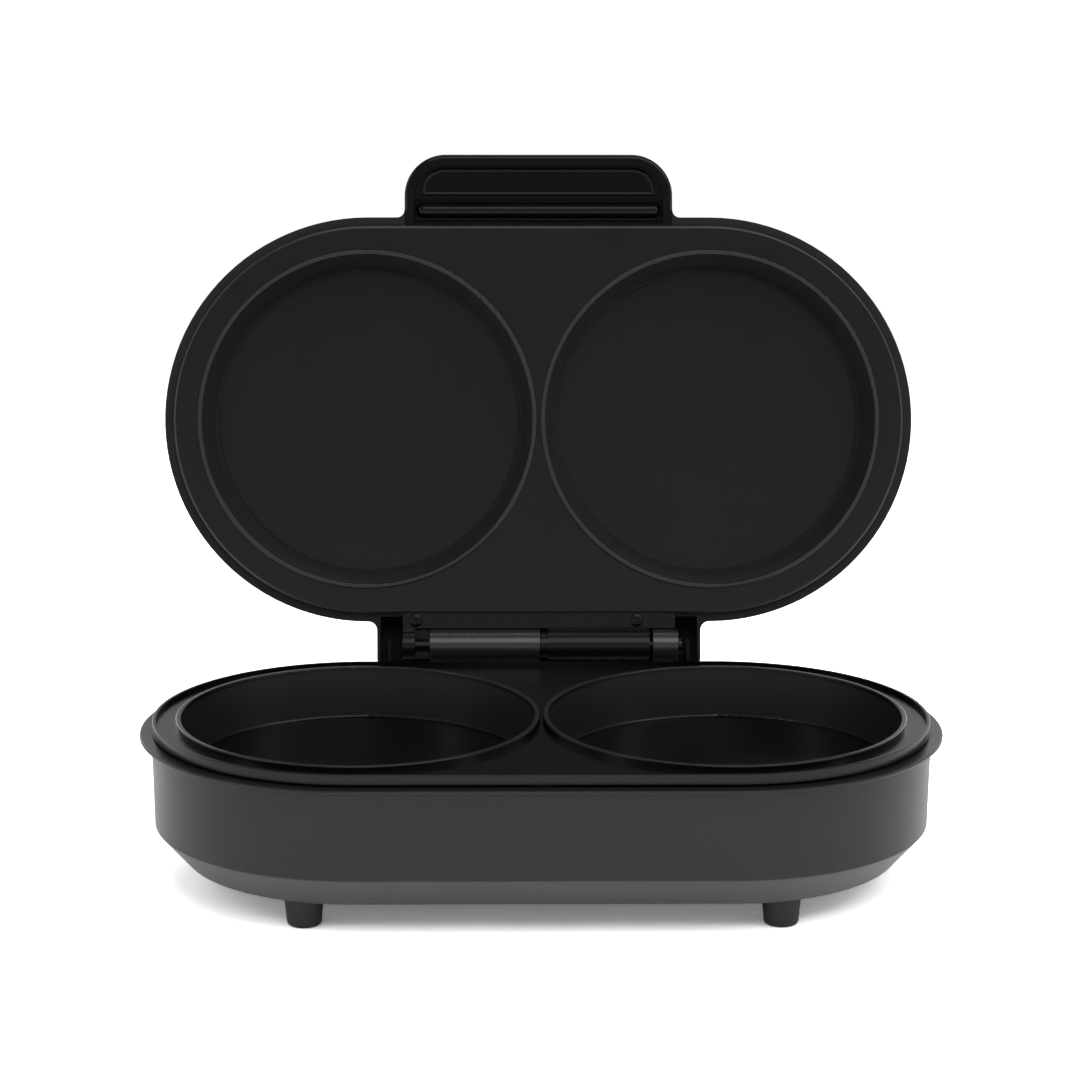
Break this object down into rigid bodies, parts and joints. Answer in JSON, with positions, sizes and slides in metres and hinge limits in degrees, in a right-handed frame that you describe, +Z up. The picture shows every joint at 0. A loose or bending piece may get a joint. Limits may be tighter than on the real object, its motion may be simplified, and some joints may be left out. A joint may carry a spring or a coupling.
{
  "type": "omelette maker",
  "caption": "Oval electric omelette cooker: round non-stick wells in the base, matching recesses in a hinged lid with a front handle, on rubber feet.",
  "frame": {"origin": "on the table, below the middle of the base, halfway between the two wells", "axes": "+X to the right along the row of wells, +Y from the handle side towards the hinge, +Z up"},
  "size_m": [0.3, 0.2443, 0.2563],
  "materials": {
    "housing": "satin, fine grain",
    "cover": "matt, fine grain",
    "nonstick": "black non-stick coating, satin",
    "gloss_black": "polished",
    "hinge_black": "black enamel, semi-gloss",
    "rubber": "matt",
    "steel": "plated, dull",
    "black_steel": "blackened, dull",
    "tray_steel": "plated sheet",
    "shield": "rolled sheet",
    "terminal": "matt",
    "red_lens": "polished, tinted",
    "green_lens": "polished, tinted",
    "lamp_glass": "clear"
  },
  "bodies": {
    "base": {"base_housing": "housing", "bottom_cover": "cover", "cover_screws": "steel", "foot_front_left": "rubber", "foot_front_right": "rubber", "foot_rear_left": "rubber", "foot_rear_right": "rubber", "lower_plate": "nonstick", "lower_plate_screws": "steel", "lower_heating_element": "steel", "lower_element_straps": "steel", "lower_strap_screws": "steel", "lower_heat_shield": "tray_steel", "thermostat": "steel", "thermal_fuse": "steel", "terminal_block": "terminal", "cord_inlet_bush": "rubber", "base_hinge": "hinge_black", "base_hinge_screws": "steel", "hinge_pin": "black_steel"},
    "lid": {"lid_housing": "housing", "upper_plate": "nonstick", "upper_heating_element": "steel", "upper_element_straps": "steel", "upper_strap_screws": "steel", "upper_heat_shield": "shield", "lid_hinge_leaf": "hinge_black", "hinge_leaf_screws": "black_steel", "handle": "gloss_black", "handle_insert": "gloss_black", "handle_screws": "steel", "power_light": "red_lens", "ready_light": "green_lens", "indicator_lamps": "lamp_glass"}
  },
  "joints": [
    {"name": "lid_hinge", "type": "hinge", "parent": "base", "child": "lid", "pos_m": [0, 0.0906, 0.0658], "axis": [1, 0, 0], "range_deg": [0, 103.9]}
  ]
}
